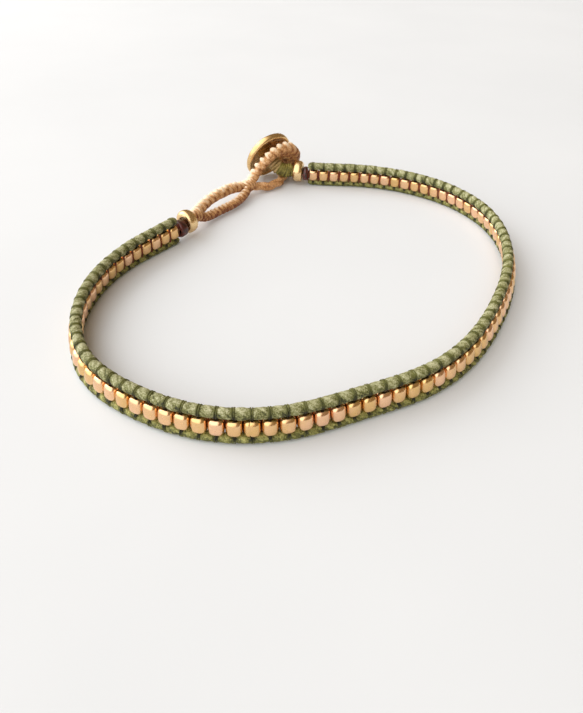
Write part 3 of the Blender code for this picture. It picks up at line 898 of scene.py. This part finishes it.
def make_button(material):
    """A turned disc with a rolled rim, a dished back and a stub for the stem."""
    axis = button_axis()
    centre = button_centre()
    across = unit(np.cross((0.0, 0.0, 1.0), axis))
    over = np.cross(axis, across)
    around = TURN * np.arange(BUTTON_SIDES) / BUTTON_SIDES
    dish = BUTTON_PROFILE[0][0] * BUTTON_THICKNESS
    stub = STUB_DIAMETER / 2.0
    stations = [(dish - STUB_LENGTH, stub * 0.5), (dish - STUB_LENGTH, stub * 0.9), (dish - 0.1 * MM, stub)]
    for share, girth in BUTTON_PROFILE:
        least = stub + 0.05 * MM if share < 0 else 0.0
        stations.append((share * BUTTON_THICKNESS, max(girth * BUTTON_DIAMETER / 2.0, least)))
    axial, radial = np.array(stations).T
    uneven = ripple(BUTTON_SEED, axial[:, None] / MM, around[None, :], 2.5)
    radii = radial[:, None] * (1.0 + BUTTON_WEAR[0] * uneven)
    places = centre + axis * axial[:, None]
    first = np.broadcast_to(across, places.shape)
    second = np.broadcast_to(over, places.shape)
    rings = ring_points(places, first, second, radii)
    rings = rings + axis * (BUTTON_WEAR[1] * uneven)[:, :, None]
    shell = Shell()
    shell.tube(rings, tone=BUTTON_TONE)
    return shell.piece("button_disc", material)


def make_stem(band, green, tan):
    """The stem: green thread wound beside the end bead, tan towards the button, and its core."""
    outward = band.along(band.length)
    axis = button_axis()
    dish = BUTTON_PROFILE[0][0] * BUTTON_THICKNESS
    far = button_centre() + axis * (dish - STUB_LENGTH - FIT_GAP)
    core = core_line(band, band.length, band.length - END_BEAD_LENGTH, band.stop + FIT_GAP)
    near = core[0] + outward * FIT_GAP
    course = far - near
    bow = unit(np.array((-course[1], course[0], 0.0))) * STEM_BOW
    bow[2] = -STEM_SAG
    swell = near + course * STEM_SWELL_AT + bow
    last = far - axis * STUB_DIAMETER / 2.0
    swell[2] -= STEM_DROPS[0]
    last[2] -= STEM_DROPS[1]
    line = fine_line([near, swell, last, far])
    cut = int(len(line) * GREEN_WRAP_TO)
    wrap = STEM_DIAMETER / 2.0 * WRAP_SWELL
    shell = Shell()
    hitched(shell, line[:cut + 3], wrap, **HITCHES["stem_wrap"])
    add_core(shell, [*core[::-1], near + outward * 0.1 * MM], STEM_CORE_CROWN)
    wound = shell.piece("stem_wrap", green)
    shell = Shell()
    hitched(shell, line[cut - 3:], wrap, **HITCHES["stem_tan_wrap"])
    return wound, shell.piece("stem_tan_wrap", tan)


def turned_piece(name, centre, axis, stations, turning, material, **marks):
    """A closed body turned round an axis, from (place along it, radius) pairs."""
    sides, seed, unevenness = turning
    across = unit(np.cross((0.0, 0.0, 1.0), axis))
    over = np.cross(axis, across)
    axial, radial = np.array(stations).T
    around = TURN * np.arange(sides) / sides
    uneven = ripple(seed, axial[:, None] / MM, around[None, :], 2.0)
    radii = radial[:, None] * (1.0 + unevenness * uneven)
    places = centre + axis * axial[:, None]
    first = np.broadcast_to(across, places.shape)
    second = np.broadcast_to(over, places.shape)
    shell = Shell()
    shell.tube(ring_points(places, first, second, radii), closed=True, **marks)
    return shell.piece(name, material)


def rounded_ring(length, outer, inner, soft, drop):
    """Profile of a ring whose rims curve over a length and a drop in radius, from bore to bore."""
    lower = [(-length / 2.0, inner)]
    for bend in BENDS:
        rim = outer - drop * (1.0 - math.sin(bend))
        lower.append((-length / 2.0 + soft * (1.0 - math.cos(bend)), rim))
    lower.append((-length * 0.06, outer * 1.004))
    return lower + [(-place, radius) for place, radius in reversed(lower)]


def make_spacer(name, band, distance, drop, diameter, thickness, material):
    """A washer with rounded edges that hangs on the core."""
    soft = min(thickness * SPACER_SOFTNESS[0], SPACER_SOFTNESS[1])
    stations = rounded_ring(thickness, diameter / 2.0, SPACER_BORE / 2.0, soft, soft)
    centre = band.raised(distance, -drop)
    return turned_piece(name, centre, band.along(distance), stations, SPACER_TURNING, material)


def make_end_bead(name, band, distance, turning, material):
    """A short barrel bead with rounded rims, drilled for the core."""
    radius = END_BEAD_DIAMETER / 2.0 * END_BEAD_SWELL
    stations = rounded_ring(END_BEAD_LENGTH, radius, END_BEAD_BORE / 2.0, *END_BEAD_CURVE)
    centre = band.raised(distance, END_BEAD_RISE)
    return turned_piece(name, centre, band.along(distance), stations, turning, material, tone=END_BEAD_TONE)


def add_camera():
    """The photograph's viewpoint: low in front of the bracelet, looking down at it."""
    level = Vector((1.0, 0.0, 0.0))
    raised = Vector((0.0, math.sin(CAMERA_PITCH), math.cos(CAMERA_PITCH)))
    right = level * math.cos(CAMERA_ROLL) + raised * math.sin(CAMERA_ROLL)
    up = raised * math.cos(CAMERA_ROLL) - level * math.sin(CAMERA_ROLL)
    back = right.cross(up)
    data = bpy.data.cameras.new("camera")
    data.sensor_width = SENSOR_WIDTH
    data.lens = CAMERA_LENS
    data.clip_start = NEAREST_SEEN
    camera = bpy.data.objects.new("camera", data)
    turned = Matrix((right, up, back)).transposed().to_4x4()
    camera.matrix_world = Matrix.Translation(CAMERA_PLACE) @ turned
    bpy.context.scene.collection.objects.link(camera)
    bpy.context.scene.camera = camera


def add_window():
    """One broad soft light, high behind the bracelet on its left, aimed at its middle."""
    data = bpy.data.lights.new("window", "AREA")
    data.shape = "RECTANGLE"
    data.size, data.size_y = WINDOW_SIZE
    data.energy = WINDOW_POWER
    data.color = WINDOW_COLOUR
    lamp = bpy.data.objects.new("window", data)
    lamp.location = WINDOW_PLACE
    lamp.rotation_euler = (-Vector(WINDOW_PLACE)).to_track_quat("-Z", "Y").to_euler()
    bpy.context.scene.collection.objects.link(lamp)


def add_world():
    """A soft room: a broad pale window side on the left, dim brown everywhere else."""
    world = bpy.data.worlds.new("studio")
    bpy.context.scene.world = world
    world.use_nodes = True
    tree = world.node_tree
    place = tree.nodes.new("ShaderNodeTexCoord").outputs["Generated"]
    towards = tree.nodes.new("ShaderNodeVectorMath")
    towards.operation = "DOT_PRODUCT"
    towards.inputs[1].default_value = ROOM_SIDE
    tree.links.new(place, towards.inputs[0])
    ramp = tree.nodes.new("ShaderNodeValToRGB")
    fill_ramp(ramp, ROOM_COLOURS)
    spread = tree.nodes.new("ShaderNodeMapRange")
    spread.inputs["From Min"].default_value = -1.0
    spread.inputs["From Max"].default_value = 1.0
    tree.links.new(towards.outputs["Value"], spread.inputs["Value"])
    tree.links.new(spread.outputs["Result"], ramp.inputs["Fac"])
    tree.links.new(ramp.outputs["Color"], tree.nodes["Background"].inputs["Color"])


def add_studio():
    """The room, the window light and the pale floor, which stay out of the exported part."""
    add_world()
    add_window()
    mesh = bpy.data.meshes.new("floor")
    signs = ((-1.0, -1.0), (1.0, -1.0), (1.0, 1.0), (-1.0, 1.0))
    mesh.from_pydata([(x * FLOOR_REACH, y * FLOOR_REACH, 0.0) for x, y in signs], [], [(0, 1, 2, 3)])
    mesh.materials.append(floor_material())
    floor = bpy.data.objects.new("floor", mesh)
    floor.location.z = -FLOOR_DROP
    bpy.context.scene.collection.objects.link(floor)
    bpy.context.scene.view_settings.view_transform = "Standard"


def dress(piece, slot, *nodes):
    """Puts a finished piece on the model's only body, in place of the nodes that it shows."""
    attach(piece, "root")
    if nodes:
        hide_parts(*nodes)


def build():
    band = Band()
    add_camera()
    add_studio()
    bead_brass = brass("bead_brass")
    button_brass = brass("button_brass")
    cords = {name: waxed_cord(name) for name in CORDS}
    dark = dark_polish("dark_spacer")
    upper = (band.upper_rise, UPPER_CORD_WIDTH, UPPER_CORD_HEIGHT)
    lower = (-band.lower_rise, LOWER_CORD_WIDTH * LOWER_CORD_SPREAD, LOWER_CORD_HEIGHT)
    dress(make_beads(band, bead_brass), "brass", "bead_row")
    dress(make_gap_shade_threads(band, cords["gap_shade_thread"]), "dark_spacer")
    low_cord = make_cord("lower_cord", band, *lower, LOWER_CORD_SEED, cords["shaded_green_cord"])
    dress(low_cord, "green_cord", "lower_edge_cord")
    top_cord = make_cord("upper_cord", band, *upper, UPPER_CORD_SEED, cords["green_cord"])
    dress(top_cord, "green_cord", "upper_edge_cord")
    low_lacing = make_lacing("lower_lacing", band, *lower, LOWER_LACING_SEED, cords["lit_green_thread"])
    dress(low_lacing, "green_cord")
    top_lacing = make_lacing("upper_lacing", band, *upper, UPPER_LACING_SEED, cords["shaded_green_thread"])
    dress(top_lacing, "green_cord")
    dress(make_clasp(band, cords["tan_cord"]), "tan_cord", "clasp_loop")
    dress(make_button(button_brass), "brass", "button")
    wound, tan_wound = make_stem(band, cords["stem_green_cord"], cords["olive_cord"])
    dress(wound, "green_cord", "button_stem")
    dress(tan_wound, "tan_cord")
    left = band.start - FIT_GAP - LEFT_SPACER_THICKNESS / 2.0
    right = band.stop + FIT_GAP + RIGHT_SPACER_THICKNESS / 2.0
    left_form = (LEFT_SPACER_DROP, LEFT_SPACER_DIAMETER, LEFT_SPACER_THICKNESS)
    right_form = (RIGHT_SPACER_DROP, RIGHT_SPACER_DIAMETER, RIGHT_SPACER_THICKNESS)
    dress(make_spacer("left_washer", band, left, *left_form, dark), "dark_spacer", "left_spacer")
    dress(make_spacer("right_washer", band, right, *right_form, dark), "dark_spacer", "right_spacer")
    left = END_BEAD_LENGTH / 2.0
    right = band.length - END_BEAD_LENGTH / 2.0
    left_bead = make_end_bead("left_barrel_bead", band, left, LEFT_END_BEAD_TURNING, button_brass)
    dress(left_bead, "brass", "left_end_bead")
    right_bead = make_end_bead("right_barrel_bead", band, right, RIGHT_END_BEAD_TURNING, button_brass)
    dress(right_bead, "brass", "right_end_bead")


build()
